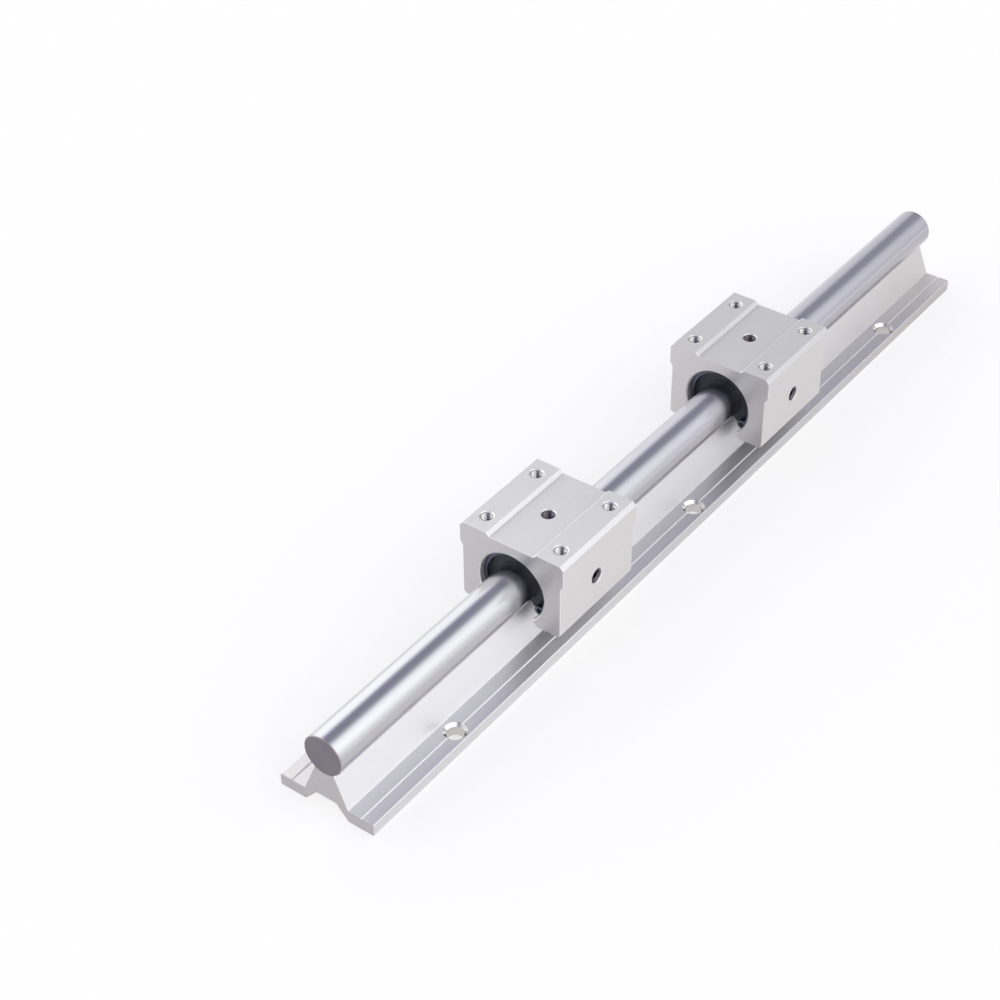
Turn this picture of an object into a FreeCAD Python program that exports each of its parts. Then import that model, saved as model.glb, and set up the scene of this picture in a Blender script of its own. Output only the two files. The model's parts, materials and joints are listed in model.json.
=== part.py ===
import FreeCAD, Part
import math
import os

import Sketcher
from FreeCAD import Placement, Rotation, Vector

# Supported round rail: a ground shaft lies in the cradle of an extruded support and is held
# from below by cap screws. Two open bearing blocks slide on it, each with its own ball bearing.
# X runs along the rail, Y across it, and Z up from the underside of the support's feet.

# The driving dimensions, in millimetres and degrees.
SIZES = {
    "rail_length": 400.0,
    "rail_width": 40.0,
    "shaft_height": 25.0,
    "shaft_diameter": 16.0,
    "shaft_end_chamfer": 0.3,
    "foot_thickness": 5.0,
    "foot_edge_radius": 0.4,
    "web_root_width": 18.5,
    "web_top_width": 8.0,
    "web_root_fillet": 0.3,
    "channel_width": 18.4,
    "channel_roof_width": 8.4,
    "channel_roof_height": 5.7,
    "channel_roof_fillet": 1.2,
    "marking_groove_width": 0.8,
    "marking_groove_depth": 0.4,
    "cradle_gap": 0.05,
    "mount_pitch": 150.0,
    "mount_rows": 3,
    "mount_spacing": 30.0,
    "mount_hole_diameter": 6.6,
    "mount_sink_diameter": 8.8,
    "mount_sink_angle": 90.0,
    "screw_hole_diameter": 5.5,
    "screw_seat_height": 8.5,
    "screw_head_diameter": 8.5,
    "screw_head_height": 5.0,
    "screw_head_chamfer": 0.5,
    "screw_head_play": 0.2,
    "screw_thread_diameter": 5.0,
    "screw_length": 16.0,
    "screw_socket_width": 4.0,
    "screw_socket_depth": 2.5,
    "tapped_hole_diameter": 4.2,
    "tapped_hole_spare": 1.0,
    "thread_gap": 0.05,
    "block_length": 45.0,
    "block_width": 45.0,
    "block_rise": 20.0,
    "block_drop": 13.0,
    "waist_inset": 1.2,
    "step_rise": 11.0,
    "step_fall": 1.7,
    "crown_inset": 1.5,
    "crown_fall": 1.5,
    "leg_chamfer": 1.1,
    "pad_channel_width": 19.0,
    "pad_channel_depth": 1.4,
    "pad_channel_flare": 1.2,
    "bore_diameter": 28.0,
    "bore_chamfer": 0.5,
    "opening_angle": 80.0,
    "top_hole_pitch": 30.0,
    "top_hole_spacing": 32.0,
    "top_hole_depth": 12.0,
    "hole_mouth_diameter": 5.8,
    "block_edge_chamfer": 0.25,
    "side_hole_rise": 0.5,
    "side_hole_diameter": 5.0,
    "side_mouth_diameter": 6.6,
    "near_block_station": -75.0,
    "far_block_station": 61.0,
    "bearing_length": 37.0,
    "bearing_gap": 0.05,
    "sleeve_bore": 23.0,
    "sleeve_edge_chamfer": 0.5,
    "sleeve_groove_width": 1.6,
    "sleeve_groove_depth": 0.5,
    "sleeve_groove_span": 26.5,
    "seal_seat_diameter": 25.0,
    "seal_seat_depth": 3.0,
    "seal_thickness": 2.4,
    "seal_lip_thickness": 0.8,
    "seal_lip_root": 19.0,
    "seal_lip_gap": 0.05,
    "cage_bore": 17.0,
    "cage_gap": 0.05,
    "ball_rows": 4,
    "ball_row_pitch": 72.0,
    "ball_slot_width": 2.0,
    "ball_slot_length": 24.0,
    "ring_thickness": 1.2,
    "ring_groove_width": 1.3,
    "ring_groove_diameter": 29.4,
    "ring_groove_gap": 0.05,
    "ring_bow_width": 2.6,
    "ring_tip_width": 1.8,
    "ring_gap_angle": 96.0,
    "ring_ear_diameter": 3.8,
    "ring_ear_hole": 2.0,
    "ring_ear_angle": 106.0,
    "set_screw_length": 6.0,
    "set_screw_gap": 0.05,
    "set_screw_socket_width": 3.0,
    "set_screw_socket_depth": 3.0,
    "set_screw_chamfer": 0.5,
}

# Lengths that several pieces share, written in terms of the sheet's cells.
SHAFT_RADIUS = "Sizes.shaft_diameter / 2"
CRADLE_RADIUS = "(Sizes.shaft_diameter / 2 + Sizes.cradle_gap)"
BORE_RADIUS = "Sizes.bore_diameter / 2"
SLEEVE_RADIUS = "(Sizes.bore_diameter / 2 - Sizes.bearing_gap)"
HALF_BEARING = "Sizes.bearing_length / 2"
SEAL_SEAT = "(Sizes.bearing_length / 2 - Sizes.seal_seat_depth)"
HALF_OPENING = "(Sizes.opening_angle / 2)"
WRAP_ANGLE = "360 - Sizes.opening_angle"
WAIST = "(Sizes.block_width / 2 - Sizes.waist_inset)"
THREAD_CORE = "Sizes.tapped_hole_diameter - 2 * Sizes.thread_gap"
SET_SCREW_CORE = "Sizes.side_hole_diameter - 2 * Sizes.thread_gap"
FIRST_STATION = "-Sizes.mount_pitch * (Sizes.mount_rows - 1) / 2"

doc = FreeCAD.newDocument("SupportedRoundRail")
sheet = doc.addObject("Spreadsheet::Sheet", "Sizes")
for row, (alias, number) in enumerate(SIZES.items(), start=1):
    sheet.set(f"A{row}", alias)
    sheet.set(f"B{row}", str(number))
    sheet.setAlias(f"B{row}", alias)
doc.recompute()


def value_of(expression):
    """Work out the number that an expression gives."""
    return float(sheet.evalExpression(expression.replace("Sizes.", "")))


def new_body(label):
    """Start a body whose label names the piece."""
    body = doc.addObject("PartDesign::Body", label)
    body.Label = label
    return body


def origin_feature(body, role):
    """Find one of the body's own origin planes or axes."""
    return next(feature for feature in body.Origin.OriginFeatures if feature.Role == role)


def new_sketch(body, name, plane, lift=None):
    """Attach a sketch to an origin plane, lifted along the plane's normal by an expression."""
    sketch = body.newObject("Sketcher::SketchObject", name)
    sketch.AttachmentSupport = [(origin_feature(body, plane), "")]
    sketch.MapMode = "FlatFace"
    if lift is not None:
        sketch.setExpression("AttachmentOffset.Base.z", lift)
    return sketch


def pin(sketch, kind, geometry, corner, expression):
    """Dimension one coordinate of a point from the sketch's origin."""
    constraint = Sketcher.Constraint(kind, -1, 1, geometry, corner, value_of(expression))
    index = sketch.addConstraint(constraint)
    sketch.setExpression(f"Constraints[{index}]", expression)


def draw_outline(sketch, points, arcs=None):
    """Draw a closed outline through (across, up) expressions, one side from each point.

    arcs maps a side's index to (centre across, centre up, whether it turns anticlockwise).
    """
    arcs = arcs or {}
    places = [Vector(value_of(across), value_of(up), 0) for across, up in points]
    ends = []
    for index, start in enumerate(places):
        finish = places[(index + 1) % len(places)]
        if index in arcs:
            across, up, anticlockwise = arcs[index]
            centre = Vector(value_of(across), value_of(up), 0)
            first, last = (start, finish) if anticlockwise else (finish, start)
            from_angle = math.atan2(first.y - centre.y, first.x - centre.x)
            to_angle = math.atan2(last.y - centre.y, last.x - centre.x)
            if to_angle <= from_angle:
                to_angle += 2 * math.pi
            circle = Part.Circle(centre, Vector(0, 0, 1), (start - centre).Length)
            side = sketch.addGeometry(Part.ArcOfCircle(circle, from_angle, to_angle), False)
            ends.append((side, 1, 2) if anticlockwise else (side, 2, 1))
        else:
            side = sketch.addGeometry(Part.LineSegment(start, finish), False)
            ends.append((side, 1, 2))
    for index, (side, _, finish_end) in enumerate(ends):
        following, start_end, _ = ends[(index + 1) % len(ends)]
        sketch.addConstraint(Sketcher.Constraint("Coincident", side, finish_end, following, start_end))
    for (side, start_end, _), (across, up) in zip(ends, points):
        pin(sketch, "DistanceX", side, start_end, across)
        pin(sketch, "DistanceY", side, start_end, up)
    for index, (across, up, _) in arcs.items():
        chord = places[(index + 1) % len(places)] - places[index]
        if abs(chord.x) > abs(chord.y):
            pin(sketch, "DistanceY", ends[index][0], 3, up)
        else:
            pin(sketch, "DistanceX", ends[index][0], 3, across)


def draw_circle(sketch, across, up, diameter):
    """Draw a circle whose centre and diameter are expressions."""
    centre = Vector(value_of(across), value_of(up), 0)
    circle = Part.Circle(centre, Vector(0, 0, 1), value_of(diameter) / 2)
    side = sketch.addGeometry(circle, False)
    pin(sketch, "DistanceX", side, 3, across)
    pin(sketch, "DistanceY", side, 3, up)
    index = sketch.addConstraint(Sketcher.Constraint("Diameter", side, value_of(diameter)))
    sketch.setExpression(f"Constraints[{index}]", diameter)


def draw_hexagon(sketch, width):
    """Draw a hexagon centred on the sketch's origin, given its width across flats."""
    corner = f"({width}) / 2 / cos(30)"
    points = [(f"{corner} * cos({60 * turn})", f"{corner} * sin({60 * turn})") for turn in range(6)]
    draw_outline(sketch, points)


def mirrored_outline(half):
    """Join a half outline, given from one end of the mirror line to the other, to its mirror."""
    return half + [(f"-({across})", up) for across, up in reversed(half)]


volumes = {}


def finish_feature(body, feature, removes):
    """Recompute and make sure that the feature really adds or removes material."""
    doc.recompute()
    body.Tip = feature
    change = feature.Shape.Volume - volumes.get(body.Label, 0.0)
    volumes[body.Label] = feature.Shape.Volume
    if not feature.Shape.isValid() or (change >= 0 if removes else change <= 0):
        raise RuntimeError(f"{body.Label}: {feature.Name} changes the volume by {change:.4f}")
    return feature


def pad(body, name, sketch, length, symmetric=False):
    """Extrude a sketch along its normal."""
    feature = body.newObject("PartDesign::Pad", name)
    feature.Profile = sketch
    feature.SideType = "Symmetric" if symmetric else "One side"
    feature.setExpression("Length", length)
    return finish_feature(body, feature, removes=False)


def pocket(body, name, sketch, length, against_normal=True):
    """Cut a sketch into the body, away from or along the sketch's normal."""
    feature = body.newObject("PartDesign::Pocket", name)
    feature.Profile = sketch
    feature.Reversed = not against_normal
    feature.setExpression("Length", length)
    return finish_feature(body, feature, removes=True)


def turn(body, name, sketch, axis, angle):
    """Revolve a sketch about one of its own axes, evenly to both sides of its plane."""
    feature = body.newObject("PartDesign::Revolution", name)
    feature.Profile = sketch
    feature.ReferenceAxis = (sketch, [axis])
    feature.Midplane = True
    feature.setExpression("Angle", angle)
    return finish_feature(body, feature, removes=False)


def turn_groove(body, name, sketch, axis):
    """Cut a full turn of a sketch about one of its own axes."""
    feature = body.newObject("PartDesign::Groove", name)
    feature.Profile = sketch
    feature.ReferenceAxis = (sketch, [axis])
    feature.Angle = 360
    return finish_feature(body, feature, removes=True)


def drill(body, name, sketch, diameter, depth=None, mouth=None, mouth_angle="90", upward=False):
    """Drill the sketch's circles, to a depth with a pointed end or right through."""
    doc.recompute()
    feature = body.newObject("PartDesign::Hole", name)
    feature.Profile = sketch
    feature.ThreadType = "None"
    feature.Reversed = upward
    feature.setExpression("Diameter", diameter)
    if depth is None:
        feature.DepthType = "ThroughAll"
    else:
        feature.DepthType = "Dimension"
        feature.DrillPoint = "Angled"
        feature.setExpression("Depth", depth)
    if mouth is not None:
        feature.HoleCutType = "Countersink"
        feature.HoleCutCustomValues = True
        feature.setExpression("HoleCutDiameter", mouth)
        feature.setExpression("HoleCutCountersinkAngle", mouth_angle)
    return finish_feature(body, feature, removes=True)


def edges_where(shape, test):
    """Name the edges of a shape that pass a test."""
    return [f"Edge{number}" for number, edge in enumerate(shape.Edges, start=1) if test(edge)]


def along_rail(corners):
    """Make a test for straight edges that run along X through any of the (y, z) corners."""
    places = [(value_of(across), value_of(up)) for across, up in corners]

    def test(edge):
        box = edge.BoundBox
        if box.XLength < 1 or box.YLength > 1e-4 or box.ZLength > 1e-4:
            return False
        return any(math.hypot(box.Center.y - y, box.Center.z - z) < 1e-3 for y, z in places)

    return test


def circles_of_radius(radius):
    """Make a test for circular edges of one radius."""
    size = value_of(radius)

    def test(edge):
        return isinstance(edge.Curve, Part.Circle) and abs(edge.Curve.Radius - size) < 1e-4

    return test


def around_ends(length):
    """Make a test for edges that lie in either end plane of a bar of that length."""
    reach = value_of(length) / 2

    def test(edge):
        box = edge.BoundBox
        return box.XLength < 1e-4 and abs(abs(box.Center.x) - reach) < 1e-3

    return test


def soften(body, kind, name, size, test):
    """Fillet or chamfer the edges of the tip that pass a test."""
    base = body.Tip
    names = edges_where(base.Shape, test)
    if not names:
        raise RuntimeError(f"{body.Label}: {name} finds no edge")
    feature = body.newObject(f"PartDesign::{kind}", name)
    feature.Base = (base, names)
    feature.setExpression("Radius" if kind == "Fillet" else "Size", size)
    doc.recompute()
    body.Tip = feature
    volumes[body.Label] = feature.Shape.Volume
    return feature


def repeat_along_rail(body, name, originals, count, span):
    """Repeat features along X, spread evenly over a span."""
    pattern = body.newObject("PartDesign::LinearPattern", name)
    pattern.Originals = originals
    pattern.Direction = (origin_feature(body, "X_Axis"), [""])
    pattern.setExpression("Length", span)
    pattern.setExpression("Occurrences", count)
    return finish_feature(body, pattern, removes=True)


def place(body, station="0", across="0", up="0", turned=None):
    """Set a body down by expressions, turned by (axis, degrees) if asked."""
    if turned is not None:
        axis, degrees = turned
        body.Placement = Placement(Vector(), Rotation(axis, degrees))
    body.setExpression("Placement.Base.x", station)
    body.setExpression("Placement.Base.y", across)
    body.setExpression("Placement.Base.z", up)


def make_support_rail():
    """Extrude the support's section, then drill its feet and web."""
    body = new_body("support_rail")
    section = new_sketch(body, "rail_section", "YZ_Plane")
    cradle_edge = f"Sizes.shaft_height - sqrt({CRADLE_RADIUS} ^ 2 - (Sizes.web_top_width / 2) ^ 2)"
    groove_line = "Sizes.mount_spacing / 2"
    half = [
        ("Sizes.channel_roof_width / 2", "Sizes.channel_roof_height"),
        ("Sizes.channel_width / 2", "0"),
        ("Sizes.rail_width / 2", "0"),
        ("Sizes.rail_width / 2", "Sizes.foot_thickness"),
        (f"{groove_line} + Sizes.marking_groove_width / 2", "Sizes.foot_thickness"),
        (groove_line, "Sizes.foot_thickness - Sizes.marking_groove_depth"),
        (f"{groove_line} - Sizes.marking_groove_width / 2", "Sizes.foot_thickness"),
        ("Sizes.web_root_width / 2", "Sizes.foot_thickness"),
        ("Sizes.web_top_width / 2", cradle_edge),
    ]
    draw_outline(section, mirrored_outline(half), {len(half) - 1: ("0", "Sizes.shaft_height", False)})
    pad(body, "rail_bar", section, "Sizes.rail_length", symmetric=True)

    def both_sides(across, up):
        return [(across, up), (f"-({across})", up)]

    roots = both_sides("Sizes.web_root_width / 2", "Sizes.foot_thickness")
    soften(body, "Fillet", "web_roots", "Sizes.web_root_fillet", along_rail(roots))
    roofs = both_sides("Sizes.channel_roof_width / 2", "Sizes.channel_roof_height")
    soften(body, "Fillet", "channel_roof", "Sizes.channel_roof_fillet", along_rail(roofs))
    edges = both_sides("Sizes.rail_width / 2", "Sizes.foot_thickness")
    edges += both_sides("Sizes.rail_width / 2", "0")
    soften(body, "Fillet", "foot_edges", "Sizes.foot_edge_radius", along_rail(edges))

    pair = new_sketch(body, "mount_pair", "XY_Plane", "Sizes.foot_thickness")
    for side in ("", "-"):
        draw_circle(pair, FIRST_STATION, f"{side}Sizes.mount_spacing / 2", "Sizes.mount_hole_diameter")
    mounts = drill(body, "mount_holes", pair, "Sizes.mount_hole_diameter",
                   mouth="Sizes.mount_sink_diameter", mouth_angle="Sizes.mount_sink_angle")

    shank = new_sketch(body, "screw_circle", "XY_Plane")
    draw_circle(shank, FIRST_STATION, "0", "Sizes.screw_hole_diameter")
    shanks = pocket(body, "screw_holes", shank, "Sizes.shaft_height", against_normal=False)
    head = new_sketch(body, "head_circle", "XY_Plane")
    draw_circle(head, FIRST_STATION, "0", "Sizes.screw_head_diameter + 2 * Sizes.screw_head_play")
    heads = pocket(body, "head_seats", head, "Sizes.screw_seat_height", against_normal=False)
    repeat_along_rail(body, "hole_rows", [mounts, shanks, heads], "Sizes.mount_rows",
                      "Sizes.mount_pitch * (Sizes.mount_rows - 1)")
    place(body)
    return body


def make_shaft():
    """Turn the shaft and tap it from below for the cap screws."""
    body = new_body("shaft")
    circle = new_sketch(body, "shaft_circle", "YZ_Plane")
    draw_circle(circle, "0", "0", "Sizes.shaft_diameter")
    pad(body, "shaft_bar", circle, "Sizes.rail_length", symmetric=True)
    soften(body, "Chamfer", "shaft_ends", "Sizes.shaft_end_chamfer", circles_of_radius(SHAFT_RADIUS))
    tapped = new_sketch(body, "tapped_circle", "XY_Plane", f"-{SHAFT_RADIUS}")
    draw_circle(tapped, FIRST_STATION, "0", "Sizes.tapped_hole_diameter")
    reach = f"Sizes.screw_length - (Sizes.shaft_height - {SHAFT_RADIUS} - Sizes.screw_seat_height)"
    holes = drill(body, "tapped_holes", tapped, "Sizes.tapped_hole_diameter",
                  depth=f"{reach} + Sizes.tapped_hole_spare", upward=True)
    repeat_along_rail(body, "tapped_rows", [holes], "Sizes.mount_rows",
                      "Sizes.mount_pitch * (Sizes.mount_rows - 1)")
    place(body, up="Sizes.shaft_height")
    return body


def make_shaft_screw(number):
    """Turn one cap screw: its head seats in the support's web and its thread is in the shaft."""
    body = new_body(f"shaft_screw_{number + 1}")
    profile = new_sketch(body, "screw_profile", "XZ_Plane")
    head = "Sizes.screw_head_diameter / 2"
    neck = f"Sizes.shaft_height - {SHAFT_RADIUS} - Sizes.screw_seat_height - Sizes.cradle_gap"
    draw_outline(profile, [
        ("0", "-Sizes.screw_head_height"),
        (f"{head} - Sizes.screw_head_chamfer", "-Sizes.screw_head_height"),
        (head, "Sizes.screw_head_chamfer - Sizes.screw_head_height"),
        (head, "0"),
        ("Sizes.screw_thread_diameter / 2", "0"),
        ("Sizes.screw_thread_diameter / 2", neck),
        (f"({THREAD_CORE}) / 2", neck),
        (f"({THREAD_CORE}) / 2", "Sizes.screw_length"),
        ("0", "Sizes.screw_length"),
    ])
    turn(body, "screw_blank", profile, "V_Axis", "360")
    socket = new_sketch(body, "socket_hexagon", "XY_Plane", "-Sizes.screw_head_height")
    draw_hexagon(socket, "Sizes.screw_socket_width")
    pocket(body, "hex_socket", socket, "Sizes.screw_socket_depth", against_normal=False)
    place(body, station=f"{FIRST_STATION} + {number} * Sizes.mount_pitch", up="Sizes.screw_seat_height")
    return body


def make_bearing_block(label, station):
    """Extrude a block's section, then bore, groove and drill it; its origin is on the shaft."""
    body = new_body(label)
    section = new_sketch(body, "block_section", "YZ_Plane")
    half = [
        (f"{BORE_RADIUS} * sin({HALF_OPENING})", f"-{BORE_RADIUS} * cos({HALF_OPENING})"),
        (f"Sizes.block_drop * tan({HALF_OPENING})", "-Sizes.block_drop"),
        (f"{WAIST} - Sizes.leg_chamfer", "-Sizes.block_drop"),
        (WAIST, "Sizes.leg_chamfer - Sizes.block_drop"),
        (WAIST, "Sizes.step_rise - Sizes.step_fall"),
        ("Sizes.block_width / 2", "Sizes.step_rise"),
        ("Sizes.block_width / 2", "Sizes.block_rise - Sizes.crown_fall"),
        ("Sizes.block_width / 2 - Sizes.crown_inset", "Sizes.block_rise"),
        ("Sizes.pad_channel_width / 2 + Sizes.pad_channel_flare", "Sizes.block_rise"),
        ("Sizes.pad_channel_width / 2", "Sizes.block_rise - Sizes.pad_channel_depth"),
    ]
    outline = mirrored_outline(half)
    draw_outline(section, outline, {len(outline) - 1: ("0", "0", False)})
    pad(body, "block_bar", section, "Sizes.block_length", symmetric=True)
    soften(body, "Chamfer", "bore_mouths", "Sizes.bore_chamfer", circles_of_radius(BORE_RADIUS))
    rest = around_ends("Sizes.block_length")
    soften(body, "Chamfer", "end_edges", "Sizes.block_edge_chamfer",
           lambda edge: rest(edge) and not isinstance(edge.Curve, Part.Circle))

    grooves = new_sketch(body, "ring_grooves_profile", "XZ_Plane")
    for side in ("", "-"):
        near = f"{side}({HALF_BEARING})"
        away = f"{side}({HALF_BEARING} + Sizes.ring_groove_width)"
        draw_outline(grooves, [
            (near, f"{BORE_RADIUS} / 2"),
            (away, f"{BORE_RADIUS} / 2"),
            (away, "Sizes.ring_groove_diameter / 2"),
            (near, "Sizes.ring_groove_diameter / 2"),
        ])
    turn_groove(body, "ring_grooves", grooves, "H_Axis")

    corners = new_sketch(body, "top_circles", "XY_Plane", "Sizes.block_rise")
    for along in ("", "-"):
        for side in ("", "-"):
            draw_circle(corners, f"{along}Sizes.top_hole_pitch / 2", f"{side}Sizes.top_hole_spacing / 2",
                        "Sizes.tapped_hole_diameter")
    drill(body, "top_holes", corners, "Sizes.tapped_hole_diameter",
          depth="Sizes.top_hole_depth", mouth="Sizes.hole_mouth_diameter")

    channel_floor = "Sizes.block_rise - Sizes.pad_channel_depth"
    centre = new_sketch(body, "centre_circle", "XY_Plane", channel_floor)
    draw_circle(centre, "0", "0", "Sizes.tapped_hole_diameter")
    drill(body, "centre_hole", centre, "Sizes.tapped_hole_diameter",
          depth=f"{channel_floor} - {BORE_RADIUS} / 2", mouth="Sizes.hole_mouth_diameter")

    side_circle = new_sketch(body, "side_circle", "XZ_Plane", WAIST)
    draw_circle(side_circle, "0", "Sizes.side_hole_rise", "Sizes.side_hole_diameter")
    drill(body, "side_hole", side_circle, "Sizes.side_hole_diameter",
          depth=f"{WAIST} - {BORE_RADIUS} / 2", mouth="Sizes.side_mouth_diameter")
    place(body, station=station, up="Sizes.shaft_height")
    return body


def make_bearing_sleeve(label, station):
    """Turn the bearing's steel sleeve, open below like the block."""
    body = new_body(label)
    profile = new_sketch(body, "sleeve_profile", "XZ_Plane")
    groove_out = "(Sizes.sleeve_groove_span / 2 + Sizes.sleeve_groove_width / 2)"
    groove_in = "(Sizes.sleeve_groove_span / 2 - Sizes.sleeve_groove_width / 2)"
    groove_floor = f"{SLEEVE_RADIUS} - Sizes.sleeve_groove_depth"
    half = [
        (SEAL_SEAT, "Sizes.sleeve_bore / 2"),
        (SEAL_SEAT, "Sizes.seal_seat_diameter / 2"),
        (HALF_BEARING, "Sizes.seal_seat_diameter / 2"),
        (HALF_BEARING, f"{SLEEVE_RADIUS} - Sizes.sleeve_edge_chamfer"),
        (f"{HALF_BEARING} - Sizes.sleeve_edge_chamfer", SLEEVE_RADIUS),
        (groove_out, SLEEVE_RADIUS),
        (groove_out, groove_floor),
        (groove_in, groove_floor),
        (groove_in, SLEEVE_RADIUS),
    ]
    draw_outline(profile, mirrored_outline(half))
    turn(body, "sleeve_wall", profile, "H_Axis", WRAP_ANGLE)
    place(body, station=station, up="Sizes.shaft_height")
    return body


def make_ball_cage(label, station):
    """Turn the cage that fills the sleeve between the seals, and cut the slots of its ball rows."""
    body = new_body(label)
    profile = new_sketch(body, "cage_profile", "XZ_Plane")
    half = [
        (f"{SEAL_SEAT} - Sizes.cage_gap", "Sizes.cage_bore / 2"),
        (f"{SEAL_SEAT} - Sizes.cage_gap", "Sizes.sleeve_bore / 2 - Sizes.cage_gap"),
    ]
    draw_outline(profile, mirrored_outline(half))
    turn(body, "cage_wall", profile, "H_Axis", WRAP_ANGLE)

    row_span = "Sizes.ball_row_pitch * (Sizes.ball_rows - 1)"
    slot = new_sketch(body, "slot_outline", "XY_Plane")
    slot.AttachmentOffset = Placement(Vector(), Rotation(Vector(1, 0, 0), 90))
    slot.setExpression("AttachmentOffset.Rotation.Angle", f"{row_span} / 2")
    reach = "(Sizes.ball_slot_length - Sizes.ball_slot_width) / 2"
    half_width = "Sizes.ball_slot_width / 2"
    draw_outline(slot, [
        (f"-{reach}", f"-({half_width})"),
        (reach, f"-({half_width})"),
        (reach, half_width),
        (f"-{reach}", half_width),
    ], {1: (reach, "0", True), 3: (f"-{reach}", "0", True)})
    first_slot = pocket(body, "ball_slot", slot, "Sizes.sleeve_bore / 2", against_normal=False)
    slots = body.newObject("PartDesign::PolarPattern", "ball_slots")
    slots.Originals = [first_slot]
    slots.Axis = (origin_feature(body, "X_Axis"), [""])
    slots.Reversed = True
    slots.setExpression("Angle", row_span)
    slots.setExpression("Occurrences", "Sizes.ball_rows")
    finish_feature(body, slots, removes=True)
    place(body, station=station, up="Sizes.shaft_height")
    return body


def make_end_seal(label, station, half_turn):
    """Turn a rubber seal that sits in the sleeve's end and wipes the shaft with a thin lip."""
    body = new_body(label)
    profile = new_sketch(body, "seal_profile", "XZ_Plane")
    back = f"{SEAL_SEAT}"
    front = f"{SEAL_SEAT} + Sizes.seal_thickness"
    lip_back = f"{front} - Sizes.seal_lip_thickness"
    rim = "Sizes.seal_seat_diameter / 2 - Sizes.cage_gap"
    lip = f"{SHAFT_RADIUS} + Sizes.seal_lip_gap"
    draw_outline(profile, [
        (back, "Sizes.seal_lip_root / 2"),
        (lip_back, "Sizes.seal_lip_root / 2"),
        (lip_back, lip),
        (front, lip),
        (front, rim),
        (back, rim),
    ])
    turn(body, "seal_ring", profile, "H_Axis", WRAP_ANGLE)
    place(body, station=station, up="Sizes.shaft_height", turned=half_turn)
    return body


def make_snap_ring(label, station, half_turn):
    """Cut an internal snap ring with two ears, its gap over the block's opening."""
    body = new_body(label)
    lift = f"{HALF_BEARING} + (Sizes.ring_groove_width - Sizes.ring_thickness) / 2"
    outer = "(Sizes.ring_groove_diameter / 2 - Sizes.ring_groove_gap)"
    bow = f"({outer} - Sizes.ring_bow_width)"
    tip = f"({outer} - Sizes.ring_tip_width)"
    half_gap = "(Sizes.ring_gap_angle / 2)"
    inner_centre = f"({bow} ^ 2 - {tip} ^ 2) / 2 / ({bow} + {tip} * cos({half_gap}))"
    band = new_sketch(body, "ring_band", "YZ_Plane", lift)
    draw_outline(band, [
        (f"{outer} * sin({half_gap})", f"-{outer} * cos({half_gap})"),
        (f"-{outer} * sin({half_gap})", f"-{outer} * cos({half_gap})"),
        (f"-{tip} * sin({half_gap})", f"-{tip} * cos({half_gap})"),
        (f"{tip} * sin({half_gap})", f"-{tip} * cos({half_gap})"),
    ], {0: ("0", "0", True), 2: ("0", inner_centre, False)})
    pad(body, "ring_bar", band, "Sizes.ring_thickness")

    ear_reach = f"({outer} - Sizes.ring_ear_diameter / 2)"
    ear_angle = "(Sizes.ring_ear_angle / 2)"
    ears = new_sketch(body, "ear_circles", "YZ_Plane", lift)
    holes = new_sketch(body, "ear_hole_circles", "YZ_Plane", lift)
    for side in ("", "-"):
        across = f"{side}{ear_reach} * sin({ear_angle})"
        up = f"-{ear_reach} * cos({ear_angle})"
        draw_circle(ears, across, up, "Sizes.ring_ear_diameter")
        draw_circle(holes, across, up, "Sizes.ring_ear_hole")
    pad(body, "ring_ears", ears, "Sizes.ring_thickness")
    pocket(body, "ear_holes", holes, "Sizes.ring_thickness", against_normal=False)
    place(body, station=station, up="Sizes.shaft_height", turned=half_turn)
    return body


def make_set_screw(label, station):
    """Make the grub screw in the block's side hole, its point at the bearing's sleeve."""
    body = new_body(label)
    circle = new_sketch(body, "set_screw_circle", "XY_Plane")
    draw_circle(circle, "0", "0", SET_SCREW_CORE)
    pad(body, "set_screw_bar", circle, "Sizes.set_screw_length")
    soften(body, "Chamfer", "set_screw_ends", "Sizes.set_screw_chamfer",
           circles_of_radius(f"({SET_SCREW_CORE}) / 2"))
    socket = new_sketch(body, "set_screw_hexagon", "XY_Plane", "Sizes.set_screw_length")
    draw_hexagon(socket, "Sizes.set_screw_socket_width")
    pocket(body, "set_screw_socket", socket, "Sizes.set_screw_socket_depth")
    place(body, station=station, across=f"-({BORE_RADIUS} + Sizes.set_screw_gap)",
          up="Sizes.shaft_height + Sizes.side_hole_rise", turned=(Vector(1, 0, 0), 90))
    return body


def make_carriage(side, station):
    """Make one bearing block with everything that it carries."""
    half_turn = (Vector(0, 0, 1), 180)
    return [
        make_bearing_block(f"bearing_block_{side}", station),
        make_bearing_sleeve(f"bearing_sleeve_{side}", station),
        make_ball_cage(f"ball_cage_{side}", station),
        make_end_seal(f"end_seal_{side}_a", station, half_turn),
        make_end_seal(f"end_seal_{side}_b", station, None),
        make_snap_ring(f"snap_ring_{side}_a", station, half_turn),
        make_snap_ring(f"snap_ring_{side}_b", station, None),
        make_set_screw(f"set_screw_{side}", station),
    ]


pieces = [make_support_rail(), make_shaft()]
pieces += [make_shaft_screw(number) for number in range(int(value_of("Sizes.mount_rows")))]
pieces += make_carriage("near", "Sizes.near_block_station")
pieces += make_carriage("far", "Sizes.far_block_station")
doc.recompute()

failed = [item.Name for item in doc.Objects if {"Invalid", "Error"} & set(item.State)]
if failed:
    raise RuntimeError(f"features that failed: {failed}")
for piece in pieces:
    if piece.Shape.isNull() or not piece.Shape.isValid() or len(piece.Shape.Solids) != 1:
        raise RuntimeError(f"{piece.Label} is not one valid solid")

os.makedirs("parts", exist_ok=True)
for piece in pieces:
    piece.Shape.exportStep(os.path.join("parts", f"{piece.Label}.step"))
    print(f"{piece.Label}: {piece.Shape.Volume / 1000:.3f} cubic centimetres")
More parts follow.
